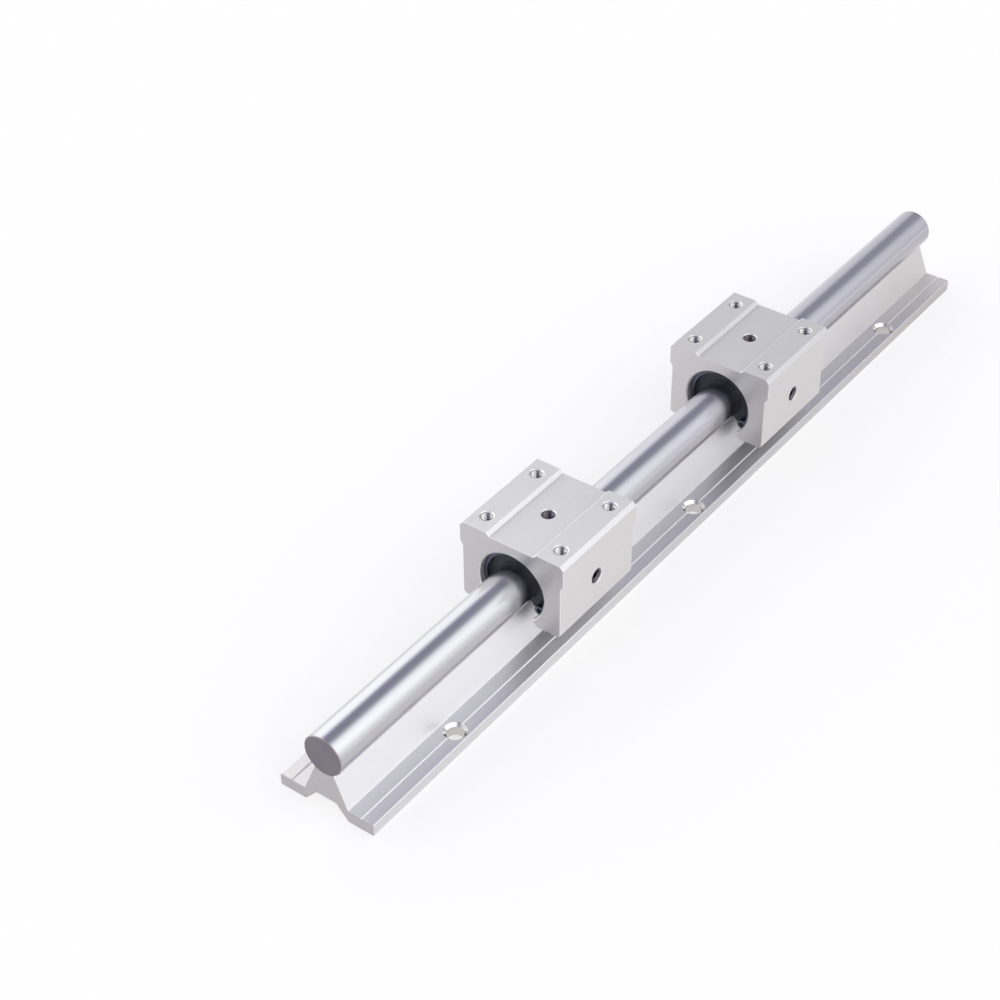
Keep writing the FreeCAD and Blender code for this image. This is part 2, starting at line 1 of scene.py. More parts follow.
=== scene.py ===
# %% [markdown]
# Dressing a supported round rail
#
# The object is a ground steel shaft that lies on an extruded aluminium support, with two open
# bearing blocks that slide on it. The CAD model already has every piece at its real size, so this
# notebook adds what CAD leaves out: the camera, the light, the finishes, the screw threads and the
# bright skins of the countersunk holes. Lengths are in metres, as in the model, but the camera's
# lens and sensor are in millimetres, as Blender has them.

# %% Load the frame
import json
import math

import bpy
import numpy as np
from mathutils import Matrix, Vector


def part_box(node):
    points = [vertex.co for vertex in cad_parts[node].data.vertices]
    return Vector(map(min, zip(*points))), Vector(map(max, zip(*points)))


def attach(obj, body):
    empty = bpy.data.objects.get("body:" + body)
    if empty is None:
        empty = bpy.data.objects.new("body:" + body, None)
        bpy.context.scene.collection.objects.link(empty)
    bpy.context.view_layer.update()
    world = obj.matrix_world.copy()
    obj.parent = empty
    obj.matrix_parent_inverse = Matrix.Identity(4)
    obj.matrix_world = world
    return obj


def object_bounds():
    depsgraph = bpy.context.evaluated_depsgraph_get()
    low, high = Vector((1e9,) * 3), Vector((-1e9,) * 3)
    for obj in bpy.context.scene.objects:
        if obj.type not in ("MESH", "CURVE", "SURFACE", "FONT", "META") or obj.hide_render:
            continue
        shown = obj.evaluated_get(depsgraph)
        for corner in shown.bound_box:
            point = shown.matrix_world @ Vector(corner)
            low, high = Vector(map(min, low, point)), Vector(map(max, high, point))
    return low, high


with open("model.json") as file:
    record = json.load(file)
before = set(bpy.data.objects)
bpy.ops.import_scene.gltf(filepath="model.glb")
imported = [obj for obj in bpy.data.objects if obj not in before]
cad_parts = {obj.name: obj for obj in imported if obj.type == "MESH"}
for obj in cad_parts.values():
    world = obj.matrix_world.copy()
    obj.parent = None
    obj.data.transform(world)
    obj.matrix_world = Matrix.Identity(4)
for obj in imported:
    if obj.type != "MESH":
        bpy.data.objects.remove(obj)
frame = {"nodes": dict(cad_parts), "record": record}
nodes = frame["nodes"]
cad_low, cad_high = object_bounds()

# %% [markdown]
# Places on the object
#
# The turned rings on the shaft's ends need the height of its axis, the countersinks need the
# underside of the feet, and the threads need the holes. All of these could be typed again, but
# reading them from the frame keeps the dressing on the model if a size changes there.

# %% Read the places that the dressing follows
shaft_low, shaft_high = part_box("shaft")
shaft_height = (shaft_low.z + shaft_high.z) / 2
foot_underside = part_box("support_rail")[0].z
mounts = {mount["name"]: mount for mount in frame["record"]["mounts"]}
print(f"shaft axis {1000 * (shaft_height - foot_underside):.1f} mm above the feet's underside")
print(f"{len(mounts)} mounts: {', '.join(sorted(mounts))}")

# %% [markdown]
# Camera
#
# A product photograph like this one is taken with a long lens, so parallel edges stay nearly
# parallel. The camera could be pointed with a Track To constraint, but a direction worked out from
# azimuth, elevation and roll keeps the slight tilt of the real camera, which a constraint drops.
# These numbers come from a fit to corners and hole centres of the rail and its blocks.

# %% Set up the camera
CAMERA_AZIMUTH = math.radians(-52.902)
CAMERA_ELEVATION = math.radians(38.673)
CAMERA_ROLL = math.radians(-0.736)
CAMERA_PLACE = Vector((-0.5538, -0.3407, 0.5204))
PHOTO_WIDTH = 1000
FOCAL_LENGTH_IN_PIXELS = 2137.5
SENSOR_WIDTH = 36.0


def camera_matrix(azimuth, elevation, roll, location):
    """Turn the level camera at that azimuth and elevation by its roll, then move it into place.

    For the azimuth a and the elevation e, the camera's back points to sin a cos e, -cos a cos e
    and sin e. Its right side, before the roll, is level: cos a, sin a and 0.
    """
    back = Vector((math.sin(azimuth) * math.cos(elevation),
                   -math.cos(azimuth) * math.cos(elevation),
                   math.sin(elevation)))
    level_right = Vector((math.cos(azimuth), math.sin(azimuth), 0.0))
    level_up = back.cross(level_right)
    right = math.cos(roll) * level_right + math.sin(roll) * level_up
    turned = Matrix((right, back.cross(right), back)).transposed().to_4x4()
    return Matrix.Translation(location) @ turned


scene = bpy.context.scene
lens = bpy.data.cameras.new("photo_camera")
lens.sensor_width = SENSOR_WIDTH
lens.lens = SENSOR_WIDTH * FOCAL_LENGTH_IN_PIXELS / PHOTO_WIDTH
camera = bpy.data.objects.new("photo_camera", lens)
scene.collection.objects.link(camera)
camera.matrix_world = camera_matrix(CAMERA_AZIMUTH, CAMERA_ELEVATION, CAMERA_ROLL, CAMERA_PLACE)
bpy.context.scene.camera = camera
print(f"lens {lens.lens:.1f} mm, {CAMERA_PLACE.length:.2f} m from the rail's middle")

# %% [markdown]
# Shader nodes
#
# A finish is a tree of shader nodes. Adding them by hand takes three calls a node, so one helper
# adds a node, sets its properties and fills its sockets with numbers or with links. The helpers
# after it are the few steps that every tree here is made of.

# %% Helpers for shader nodes
WHITE = (1.0, 1.0, 1.0)


def add_node(tree, kind, sockets=None, **settings):
    """Add one node; settings are its properties, and sockets its inputs as values or links."""
    node = tree.nodes.new(kind)
    for name, value in settings.items():
        setattr(node, name, value)
    for name, value in (sockets or {}).items():
        if isinstance(value, bpy.types.NodeSocket):
            tree.links.new(value, node.inputs[name])
        else:
            node.inputs[name].default_value = value
    return node


def maths(tree, operation, first, second=0.0, third=0.0):
    """Work out one arithmetic step on two or three numbers or links."""
    sockets = {0: first, 1: second, 2: third}
    return add_node(tree, "ShaderNodeMath", sockets, operation=operation).outputs[0]


def spread(tree, value, low, high, new_low=0.0, new_high=1.0):
    """Carry a number smoothly from one range to another, and hold it at the ends."""
    node = add_node(tree, "ShaderNodeMapRange", {
        "Value": value, "From Min": low, "From Max": high,
        "To Min": new_low, "To Max": new_high,
    }, interpolation_type="SMOOTHSTEP")
    return node.outputs["Result"]


def opaque(colour):
    """Give a plain colour the fourth number that a colour socket wants, and pass a link on."""
    return colour if isinstance(colour, bpy.types.NodeSocket) else (*colour, 1.0)


def blend_colours(tree, share, first, second):
    """Mix two colours by a share from 0 to 1. Inputs 6 and 7 of a Mix node are its colours."""
    node = add_node(tree, "ShaderNodeMix",
                    {"Factor": share, 6: opaque(first), 7: opaque(second)}, data_type="RGBA")
    return node.outputs[2]


def ramp(tree, value, stops):
    """Look a number up in a list of (place, colour) stops."""
    node = add_node(tree, "ShaderNodeValToRGB", {"Fac": value})
    elements = node.color_ramp.elements
    while len(elements) < len(stops):
        elements.new(0.5)
    for element, (place, colour) in zip(elements, stops):
        element.position = place
        element.color = opaque(colour)
    return node.outputs["Color"]


print(f"white in a colour socket is {opaque(WHITE)}")

# %% [markdown]
# Light
#
# Polished metal has hardly a colour of its own: it shows the room. The photograph's shaft has a
# dark band along its top between two bright ones, which is what two long softboxes give, one on
# each side of the rail, with a gap between them overhead. Area lamps could do it, but a world
# whose brightness depends on the direction gives the same reflections in every view and no noise.
# The ramp's places are angles round the rail: 0 is level with +Y, 0.5 overhead and 1 level with
# -Y. Towards +X, past the ends of the softboxes, the room fades to a grey wall.

# %% Light the scene with two long softboxes
SOFTBOX_RAMP = [
    (0.00, (1.40, 1.40, 1.41)),
    (0.08, (1.56, 1.56, 1.57)),
    (0.23, (1.54, 1.53, 1.56)),
    (0.28, (1.20, 1.19, 1.26)),
    (0.32, (0.74, 0.71, 0.83)),
    (0.36, (0.36, 0.335, 0.46)),
    (0.41, (0.31, 0.295, 0.40)),
    (0.48, (0.31, 0.30, 0.39)),
    (0.54, (0.38, 0.38, 0.46)),
    (0.59, (0.66, 0.67, 0.75)),
    (0.64, (1.18, 1.19, 1.23)),
    (0.71, (1.52, 1.53, 1.55)),
    (0.80, (1.64, 1.64, 1.65)),
    (0.89, (1.46, 1.46, 1.47)),
    (1.00, (1.00, 1.00, 1.02)),
]
FAR_WALL = (0.50, 0.50, 0.53)
FAR_WALL_STARTS = 0.48
FAR_WALL_FULL = 0.95

scene.view_settings.view_transform = "Standard"
world = bpy.data.worlds.new("softboxes")
scene.world = world
world.use_nodes = True
sky = world.node_tree
sky.nodes.clear()
direction = add_node(sky, "ShaderNodeTexCoord").outputs["Generated"]
parts = add_node(sky, "ShaderNodeSeparateXYZ", {0: direction}).outputs
round_rail = maths(sky, "ARCTAN2", parts["Z"], parts["Y"])
softboxes = ramp(sky, maths(sky, "DIVIDE", round_rail, math.pi), SOFTBOX_RAMP)
past_the_softboxes = spread(sky, parts["X"], FAR_WALL_STARTS, FAR_WALL_FULL)
room = blend_colours(sky, past_the_softboxes, softboxes, FAR_WALL)
background = add_node(sky, "ShaderNodeBackground", {"Color": room})
add_node(sky, "ShaderNodeOutputWorld", {"Surface": background.outputs[0]})
print(f"softbox world with {len(SOFTBOX_RAMP)} stops round the rail")

# %% [markdown]
# Floor
#
# The rail lies on white paper. A paper sweep could be bent up behind it, but no bend shows in the
# photograph, so the floor is a plain plane just under the feet. A little glow of its own stands
# for the light that a sweep collects from the whole studio.

# %% Lay the floor
FLOOR_SIZE = 6.0
FLOOR_DROP = 0.0001
PAPER_COLOUR = (0.42, 0.415, 0.41)
PAPER_ROUGHNESS = 0.9
PAPER_GLOW = 0.61

corners = FLOOR_SIZE / 2 * np.array([(-1, -1, 0), (1, -1, 0), (1, 1, 0), (-1, 1, 0)], float)
corners[:, 2] = cad_low.z - FLOOR_DROP
paper_mesh = bpy.data.meshes.new("paper")
paper_mesh.from_pydata(corners.tolist(), [], [(0, 1, 2, 3)])
paper = bpy.data.objects.new("paper", paper_mesh)
scene.collection.objects.link(paper)

paper_finish = bpy.data.materials.new("white_paper")
paper_finish.use_nodes = True
paper_shader = paper_finish.node_tree.nodes["Principled BSDF"]
paper_shader.inputs["Base Color"].default_value = opaque(PAPER_COLOUR)
paper_shader.inputs["Roughness"].default_value = PAPER_ROUGHNESS
paper_shader.inputs["Specular IOR Level"].default_value = 0.0
paper_shader.inputs["Emission Color"].default_value = opaque(WHITE)
paper_shader.inputs["Emission Strength"].default_value = PAPER_GLOW
paper_mesh.materials.append(paper_finish)
print(f"floor at {1000 * corners[0, 2]:.2f} mm")

# %% [markdown]
# Finishes
#
# What tells one metal from another is how sharp its reflections are and which way its fine lines
# run: along the rail where it was extruded, round the shaft where it was ground, across a face
# where it was sawn. A picture of brushed metal could give the lines, but it repeats and blurs
# close up. Noise that is stretched in the direction of the lines does neither, and the same noise
# varies a finish's colour, gloss and height together.

# %% Helpers that start and end a finish
PLAIN_DETAIL = 2.0
FINE_DETAIL = 3.0
NOISE_ROUGHNESS = 0.55


def new_finish(name):
    """Start a material and return it with its tree, its shader and the place on the object."""
    finish = bpy.data.materials.new(name)
    finish.use_nodes = True
    tree = finish.node_tree
    shader = tree.nodes["Principled BSDF"]
    place = add_node(tree, "ShaderNodeTexCoord").outputs["Object"]
    return finish, tree, shader, place


def stretched_noise(tree, place, per_metre, detail=PLAIN_DETAIL):
    """Give noise with so many features per metre along each axis."""
    mapped = add_node(tree, "ShaderNodeMapping", {"Vector": place, "Scale": per_metre})
    noise = add_node(tree, "ShaderNodeTexNoise", {
        "Vector": mapped.outputs[0], "Scale": 1.0, "Detail": detail,
        "Roughness": NOISE_ROUGHNESS,
    })
    return noise.outputs["Fac"]


def set_surface(tree, shader, colour, roughness, height, depth, metallic=1.0):
    """Link a shader's colour and roughness, and press in a height at most depth metres deep."""
    tree.links.new(colour, shader.inputs["Base Color"])
    tree.links.new(roughness, shader.inputs["Roughness"])
    bump = add_node(tree, "ShaderNodeBump", {"Height": height, "Strength": 1.0, "Distance": depth})
    tree.links.new(bump.outputs["Normal"], shader.inputs["Normal"])
    shader.inputs["Metallic"].default_value = metallic


print(f"noise has {PLAIN_DETAIL:.0f} octaves of detail, and fine noise {FINE_DETAIL:.0f}")

# %% [markdown]
# Bearing parts and screws
#
# Inside each block is the bearing: a steel sleeve, a plastic cage, rubber seals and a phosphated
# snap ring. All but the sleeve are nearly black, and only their gloss tells them apart. Each could
# have a tree of its own, but their grain is alike and too fine to tell, so one function makes them
# all from two colours and a range of roughness. It makes the dim threads of deep holes too.

# %% A finish for small parts
# Most values of a noise lie between these two.
NOISE_LOW = 0.3
NOISE_HIGH = 0.7
GRAIN_DETAIL = 4.0


def small_part_finish(name, dark, light, metallic, rough, grains_per_metre, depth):
    """Blend two colours by a fine noise, and carry its middle range to a range of roughness."""
    finish, tree, shader, place = new_finish(name)
    grain = stretched_noise(tree, place, (grains_per_metre,) * 3, detail=GRAIN_DETAIL)
    roughness = spread(tree, grain, NOISE_LOW, NOISE_HIGH, *rough)
    set_surface(tree, shader, blend_colours(tree, grain, dark, light), roughness, grain, depth,
                metallic)
    return finish


# Painted shade: the threads of the deep holes are given a dim colour.
deep_thread = small_part_finish("deep_thread", dark=(0.14, 0.125, 0.14),
                                light=(0.21, 0.19, 0.205), metallic=1.0, rough=(0.2, 0.3),
                                grains_per_metre=2500.0, depth=3e-6)
print(f"{deep_thread.name}: {len(deep_thread.node_tree.nodes)} nodes")

# %% Finish the bearing parts and screws
FINISHES = {
    "bearing_steel": small_part_finish(
        "bearing_steel", dark=(0.40, 0.40, 0.43), light=(0.52, 0.52, 0.55), metallic=1.0,
        rough=(0.22, 0.32), grains_per_metre=1500.0, depth=3e-6),
    "cage_plastic": small_part_finish(
        "cage_plastic", dark=(0.025, 0.025, 0.03), light=(0.05, 0.05, 0.055), metallic=0.0,
        rough=(0.35, 0.5), grains_per_metre=2500.0, depth=8e-6),
    "seal_rubber": small_part_finish(
        "seal_rubber", dark=(0.006, 0.008, 0.018), light=(0.014, 0.017, 0.032), metallic=0.0,
        rough=(0.4, 0.55), grains_per_metre=3000.0, depth=1e-5),
    "ring_steel": small_part_finish(
        "phosphated_steel", dark=(0.07, 0.075, 0.10), light=(0.14, 0.15, 0.19), metallic=1.0,
        rough=(0.28, 0.4), grains_per_metre=3500.0, depth=4e-6),
    "screw_steel": small_part_finish(
        "black_oxide_steel", dark=(0.04, 0.04, 0.045), light=(0.09, 0.09, 0.1), metallic=1.0,
        rough=(0.3, 0.45), grains_per_metre=3500.0, depth=6e-6),
}
print(f"small parts: {', '.join(FINISHES)}")

# %% [markdown]
# Faces of one piece
#
# The sides, ends and bevels of one piece were made in different ways, so they look different. A
# material slot for each would mean sorting the faces of the CAD meshes by hand. The direction that
# a surface faces tells the same, and it still does when a size changes.

# %% Helpers that tell faces apart
FACING_LIMIT = 0.95
SLANT_LIMIT = 0.88


def normal_part(tree, axis, kind="True Normal"):
    """Give how far a surface faces along an axis, from -1 to 1, by its true or smooth normal."""
    normal = add_node(tree, "ShaderNodeNewGeometry").outputs[kind]
    return add_node(tree, "ShaderNodeSeparateXYZ", {0: normal}).outputs[axis]


def facing(tree, axis, at_least=FACING_LIMIT):
    """Tell by 0 or 1 whether a surface faces either way along an axis of the object."""
    either_way = maths(tree, "ABSOLUTE", normal_part(tree, axis))
    return maths(tree, "GREATER_THAN", either_way, at_least)


def slanted(tree):
    """Tell by 0 or 1 whether a surface faces along none of the object's three axes."""
    normal = add_node(tree, "ShaderNodeNewGeometry").outputs["True Normal"]
    size = add_node(tree, "ShaderNodeVectorMath", {0: normal}, operation="ABSOLUTE").outputs[0]
    along = add_node(tree, "ShaderNodeSeparateXYZ", {0: size}).outputs
    largest = maths(tree, "MAXIMUM", maths(tree, "MAXIMUM", along["X"], along["Y"]), along["Z"])
    return maths(tree, "LESS_THAN", largest, SLANT_LIMIT)


print(f"facing: within {math.degrees(math.acos(FACING_LIMIT)):.0f} degrees of an axis")
print(f"slanted: over {math.degrees(math.acos(SLANT_LIMIT)):.0f} degrees from every axis")

# %% [markdown]
# Light that falls off
#
# In the photograph the rail is brighter at its near end than from its middle on. A world lights
# every part of the rail alike, and a lamp beside the near end would show in the polished shaft.
# So the finishes carry the change: each colour is multiplied by one that darkens along the rail.

# %% Helpers that tone a colour along the rail
FALLOFF_START = -0.12
FALLOFF_END = 0.03


def place_part(tree, place, axis):
    """Give how far along an axis of the object a point lies, in metres."""
    return add_node(tree, "ShaderNodeSeparateXYZ", {0: place}).outputs[axis]


def multiply_colours(tree, first, second):
    """Multiply two colours, channel by channel."""
    return add_node(tree, "ShaderNodeVectorMath", {0: first, 1: second},
                    operation="MULTIPLY").outputs[0]


def shaded(tree, colour, place, share, tint=WHITE):
    """Darken a colour by a share, and tint it, between the two ends of the light's fall-off."""
    fall = spread(tree, place_part(tree, place, "X"), FALLOFF_START, FALLOFF_END)
    beyond = [(1.0 - share) * channel for channel in tint]
    return multiply_colours(tree, colour, blend_colours(tree, fall, WHITE, beyond))


print(f"light falls off from {1000 * FALLOFF_START:.0f} to {1000 * FALLOFF_END:.0f} mm")

# %% [markdown]
# Extruded support
#
# The support is pressed through a die, which leaves fine lines along its whole length, then sawn
# to length. The sawn ends are rougher than the sides, and their darker tone is painted shade.
# Anisotropic gloss alone would give the lines' gleam but not the lines, so here they are noise
# that is far longer than wide. In the photograph the edges of the feet are darker than their
# tops, the far end is darker and warmer, and the foot behind the shaft and at the far end is
# paler. The darker edges and far end are painted shade, and the paler foot is painted light.

# %% Colour the sides of the support
SUPPORT_SIDES = ((0.80, 0.795, 0.815), (0.92, 0.915, 0.93))
# Painted shade: the feet's upright edges get this darker colour.
SUPPORT_EDGES_PAINTED_SHADE = ((0.67, 0.665, 0.675), (0.75, 0.745, 0.755))
SUPPORT_BEVELS = (0.84, 0.835, 0.86)
# Painted light: the foot behind the shaft and the feet's tops at the far end are paler.
PAINTED_LIGHT_FOOT = (1.0, 0.98, 0.935)
PAINTED_LIGHT_START = 0.14
PAINTED_LIGHT_END = 0.2
# Painted shade: upright faces turn darker and warmer towards the far end.
FAR_END_PAINTED_SHADE = (0.90, 0.86, 0.845)
WARM_START = 0.06
WARM_END = 0.21


def support_side_colour(tree, lines, place):
    """Blend the support's colours by the way each side faces and its place, painting light and
    shade.
    """
    along = place_part(tree, place, "X")
    side_colour = blend_colours(tree, lines, *SUPPORT_SIDES)
    # Painted shade: faces along Y, the feet's edges, take the darker edge colour.
    painted_shade_edges = blend_colours(tree, lines, *SUPPORT_EDGES_PAINTED_SHADE)
    upright = blend_colours(tree, facing(tree, "Y"), side_colour, painted_shade_edges)
    # Painted shade towards the far end of the rail.
    far_end_painted_shade = blend_colours(tree, spread(tree, along, WARM_START, WARM_END), WHITE, FAR_END_PAINTED_SHADE)
    # Painted light on the back foot and on the tops near the far end.
    back_foot = maths(tree, "GREATER_THAN", place_part(tree, place, "Y"), 0.0)
    painted_light = maths(tree, "MAXIMUM", back_foot, spread(tree, along, PAINTED_LIGHT_START, PAINTED_LIGHT_END))
    level = blend_colours(tree, painted_light, side_colour, PAINTED_LIGHT_FOOT)
    flat = blend_colours(tree, facing(tree, "Z"), multiply_colours(tree, upright, far_end_painted_shade), level)
    return blend_colours(tree, slanted(tree), flat, SUPPORT_BEVELS)


print(f"warm from {1000 * WARM_START:.0f} mm on, pale foot from {1000 * PAINTED_LIGHT_START:.0f} mm on")

# %% Finish the support
# The saw lines are real; the ends' darker tone is painted shade.
SAWN_ENDS_PAINTED_SHADE = ((0.46, 0.44, 0.45), (0.58, 0.56, 0.57))
DIE_STREAKS_PER_METRE = (4.0, 260.0, 260.0)
DIE_LINES_PER_METRE = (14.0, 2600.0, 2600.0)
SAW_LINES_PER_METRE = (1200.0, 90.0, 1900.0)
SUPPORT_ROUGHNESS = (0.45, 0.53)
SAWN_EXTRA_ROUGHNESS = 0.1
SUPPORT_SHADE = 0.14
DIE_LINE_DEPTH = 4e-6


def blend_numbers(tree, share, first, second):
    """Mix two numbers by a share from 0 to 1. Inputs 2 and 3 of a Mix node are its numbers."""
    return add_node(tree, "ShaderNodeMix", {"Factor": share, 2: first, 3: second},
                    data_type="FLOAT").outputs[0]


def support_finish():
    """Satin aluminium: lengthwise die lines on the sides and crosswise saw lines on the ends."""
    finish, tree, shader, place = new_finish("extruded_aluminium")
    streaks = stretched_noise(tree, place, DIE_STREAKS_PER_METRE)
    fine = stretched_noise(tree, place, DIE_LINES_PER_METRE, detail=FINE_DETAIL)
    sawn = stretched_noise(tree, place, SAW_LINES_PER_METRE, detail=FINE_DETAIL)
    lines = maths(tree, "MULTIPLY_ADD", fine, 0.5, maths(tree, "MULTIPLY", streaks, 0.5))
    ends = facing(tree, "X")
    sides = shaded(tree, support_side_colour(tree, lines, place), place, SUPPORT_SHADE)
    colour = blend_colours(tree, ends, sides, blend_colours(tree, sawn, *SAWN_ENDS_PAINTED_SHADE))
    side_roughness = spread(tree, lines, NOISE_LOW, NOISE_HIGH, *SUPPORT_ROUGHNESS)
    roughness = maths(tree, "MULTIPLY_ADD", ends, SAWN_EXTRA_ROUGHNESS, side_roughness)
    relief = blend_numbers(tree, ends, fine, sawn)
    set_surface(tree, shader, colour, roughness, relief, DIE_LINE_DEPTH)
    return finish


FINISHES["support_aluminium"] = support_finish()
print(f"support: {len(FINISHES['support_aluminium'].node_tree.nodes)} nodes")

# %% [markdown]
# Ground shaft
#
# The shaft is hardened, ground between centres and polished. Grinding leaves very fine lines round
# it, so its reflections stay sharp across and blur a little along. Bump alone would need lines
# finer than a pixel for that, so the shader's own anisotropy stretches the gloss, and the bump
# only breaks it up. Its flanks, level with its axis, are toned darker, as in the photograph; that
# darker tone is painted shade.

# %% Colour the round of the shaft
POLISHED_STEEL = ((0.61, 0.615, 0.64), (0.65, 0.655, 0.675))
POLISHED_SHADE = 0.09
POLISHED_TINT = (0.98, 0.96, 1.01)
# Painted shade: the flanks are given a darker steel.
FLANK_PAINTED_SHADE = ((0.515, 0.50, 0.54), (0.55, 0.535, 0.57))
FLANK_SHADE = 0.12
FLANK_START = 0.87
FLANK_END = 0.98
CLOUDS_PER_METRE = (18.0, 60.0, 60.0)


def shaft_round_colour(tree, place):
    """Blend from polished steel to the darker flanks, a painted shade, where the normal nears the Y
    axis.
    """
    clouds = stretched_noise(tree, place, CLOUDS_PER_METRE)
    polished = shaded(tree, blend_colours(tree, clouds, *POLISHED_STEEL), place, POLISHED_SHADE,
                      POLISHED_TINT)
    painted_flank_shade = shaded(tree, blend_colours(tree, clouds, *FLANK_PAINTED_SHADE), place, FLANK_SHADE)
    across = maths(tree, "ABSOLUTE", normal_part(tree, "Y", "Normal"))
    return blend_colours(tree, spread(tree, across, FLANK_START, FLANK_END), polished, painted_flank_shade)


print(f"flanks: within {math.degrees(math.acos(FLANK_START)):.0f} degrees of level")

# %% Finish the shaft
TURNED_ENDS = ((0.19, 0.175, 0.205), (0.235, 0.215, 0.245))
WORN_BEVEL = (0.44, 0.385, 0.40)
BEVEL_LIMIT = 0.3
GRINDING_LINES_PER_METRE = (3500.0, 30.0, 30.0)
TURNED_RINGS_SCALE = 600.0
POLISHED_ROUGHNESS = 0.205
BEVEL_ROUGHNESS = 0.45
GRINDING_DEPTH = 6e-7
ANISOTROPY = 0.68
ANISOTROPY_TURN = 0.25


def turned_rings(tree, place):
    """Give fine rings round the shaft's axis, as a lathe leaves them on its ends."""
    centred = add_node(tree, "ShaderNodeMapping", {
        "Vector": place, "Location": (0.0, 0.0, -shaft_height), "Scale": (0.0, 1.0, 1.0),
    })
    rings = add_node(tree, "ShaderNodeTexWave", {
        "Vector": centred.outputs[0], "Scale": TURNED_RINGS_SCALE, "Distortion": 0.6, "Detail": 2.0,
    }, wave_type="RINGS", rings_direction="X")
    return rings.outputs["Fac"]


def shaft_finish():
    """Polished steel with fine lines round the shaft, and dull turned ends and end bevels."""
    finish, tree, shader, place = new_finish("ground_steel")
    grinding = stretched_noise(tree, place, GRINDING_LINES_PER_METRE, detail=FINE_DETAIL)
    rings = turned_rings(tree, place)
    ends = facing(tree, "X")
    bevels = facing(tree, "X", BEVEL_LIMIT)
    worn = blend_colours(tree, bevels, shaft_round_colour(tree, place), WORN_BEVEL)
    colour = blend_colours(tree, ends, worn, blend_colours(tree, rings, *TURNED_ENDS))
    roughness = blend_numbers(tree, bevels, POLISHED_ROUGHNESS, BEVEL_ROUGHNESS)
    set_surface(tree, shader, colour, roughness, blend_numbers(tree, ends, grinding, rings),
                GRINDING_DEPTH)
    around = add_node(tree, "ShaderNodeTangent", direction_type="RADIAL", axis="X")
    tree.links.new(around.outputs[0], shader.inputs["Tangent"])
    shader.inputs["Anisotropic"].default_value = ANISOTROPY
    shader.inputs["Anisotropic Rotation"].default_value = ANISOTROPY_TURN
    return finish


FINISHES["ground_steel"] = shaft_finish()
print(f"shaft: {len(FINISHES['ground_steel'].node_tree.nodes)} nodes")

# %% [markdown]
# Anodised blocks
#
# The blocks are extruded too, then milled at their ends and clear anodised. Etching and anodising
# leave the faces matt and slightly milky, while bevels and hole mouths are cut bright. A coat over
# the metal would be the literal way to show the anodising, but it is a few microns thick and only
# softens the metal's gloss, so a higher roughness and a little grain do the same.

# %% Colour the blocks
BLOCK_SIDES = ((0.705, 0.69, 0.69), (0.755, 0.74, 0.74))
BLOCK_SIDE_SHADE = 0.05
# Painted light: the tops are lighter than the sides.
BLOCK_TOPS_PAINTED_LIGHT = ((0.865, 0.865, 0.835), (0.905, 0.905, 0.875))
BLOCK_TOP_SHADE = 0.12
# Painted shade: the ends are darker than the sides; their milling lines are real.
BLOCK_ENDS_PAINTED_SHADE = ((0.535, 0.525, 0.53), (0.595, 0.585, 0.59))
# A negative share paints the ends lighter towards the far end: painted light.
BLOCK_END_SHADE = -0.10
BEVEL_FRONT = (0.79, 0.79, 0.80)
# Painted light: bevels facing +Y are lighter than those facing -Y.
BEVEL_BACK_PAINTED_LIGHT = (0.98, 0.98, 0.98)
BEVEL_SHADE = 0.12
SCUFFS = (0.69, 0.675, 0.66)
SCUFFS_START = 0.58
SCUFFS_FULL = 0.75
MOST_SCUFFED = 0.35
SCUFFS_DETAIL = 5.0
SCUFFS_PER_METRE = (25.0, 90.0, 90.0)
MILLING_PER_METRE = (900.0, 120.0, 1500.0)


def block_face_colour(tree, place, lines, ends):
    """Blend the colours of a block's sides, tops and ends, with faint scuffs where noise peaks."""
    side_colour = shaded(tree, blend_colours(tree, lines, *BLOCK_SIDES), place, BLOCK_SIDE_SHADE)
    # Painted light: the tops get a lighter copy of the sides' colour.
    painted_light_top = shaded(tree, blend_colours(tree, lines, *BLOCK_TOPS_PAINTED_LIGHT), place, BLOCK_TOP_SHADE)
    flat = blend_colours(tree, facing(tree, "Z"), side_colour, painted_light_top)
    rubbed = stretched_noise(tree, place, SCUFFS_PER_METRE, detail=SCUFFS_DETAIL)
    worn = spread(tree, rubbed, SCUFFS_START, SCUFFS_FULL, 0.0, MOST_SCUFFED)
    scuffed = blend_colours(tree, worn, flat, SCUFFS)
    milled = stretched_noise(tree, place, MILLING_PER_METRE)
    # Painted shade: the ends get a darker colour than the sides.
    painted_shade_end = shaded(tree, blend_colours(tree, milled, *BLOCK_ENDS_PAINTED_SHADE), place, BLOCK_END_SHADE)
    return blend_colours(tree, ends, scuffed, painted_shade_end)


def block_bevel_colour(tree, place):
    """Give the bevels one colour where they face towards -Y and a brighter one, painted light,
    towards +Y.
    """
    faces_back = maths(tree, "GREATER_THAN", normal_part(tree, "Y"), 0.0)
    bevel_colour = blend_colours(tree, faces_back, BEVEL_FRONT, BEVEL_BACK_PAINTED_LIGHT)
    return shaded(tree, bevel_colour, place, BEVEL_SHADE)


print(f"scuffs cover at most {100 * MOST_SCUFFED:.0f}% of a block's own colour")

# %% Finish the blocks
BLOCK_GRAIN_PER_METRE = (2400.0, 2400.0, 2400.0)
BLOCK_LINES_PER_METRE = (22.0, 1500.0, 1500.0)
BLOCK_ROUGHNESS = (0.54, 0.66)
SMOOTHER_BEVELS = 0.16
SMOOTHER_ENDS = 0.24
LINE_SHARE = 0.4
GRAIN_DEPTH = 5e-6


